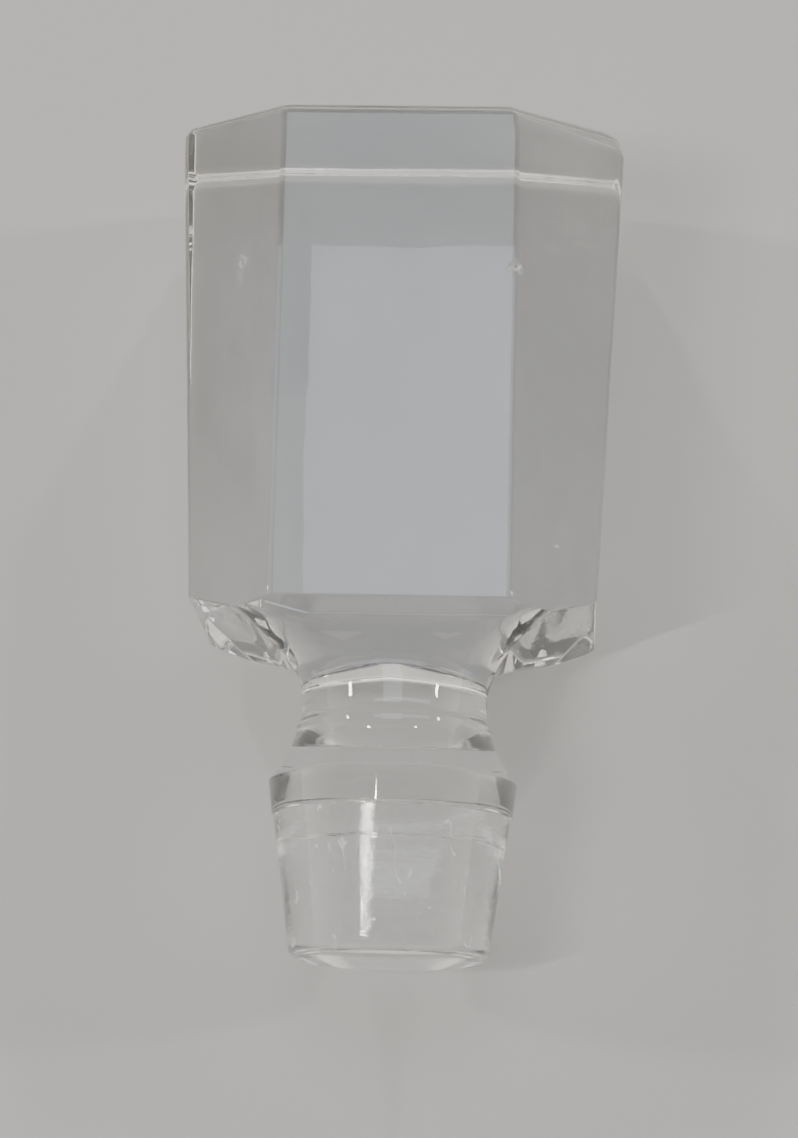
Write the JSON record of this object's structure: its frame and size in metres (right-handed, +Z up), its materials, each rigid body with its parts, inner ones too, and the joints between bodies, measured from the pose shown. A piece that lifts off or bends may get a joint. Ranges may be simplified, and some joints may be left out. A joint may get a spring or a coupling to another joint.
{
  "type": "glass decanter stopper",
  "caption": "Solid clear glass stopper: a tapered block head with bevelled edges on a round neck, over a flange and a tapered ground plug.",
  "frame": {"origin": "centre of the bounding box in plan, on the flat back of the head that it lies on", "axes": "+Y along the stopper's axis from the plug's end to the head's top end, +X across the head, +Z up out of the head's front face"},
  "size_m": [0.0448, 0.0838, 0.0362],
  "materials": {
    "stopper": "gloss"
  },
  "bodies": {
    "root": {"stopper": "stopper"}
  },
  "joints": []
}
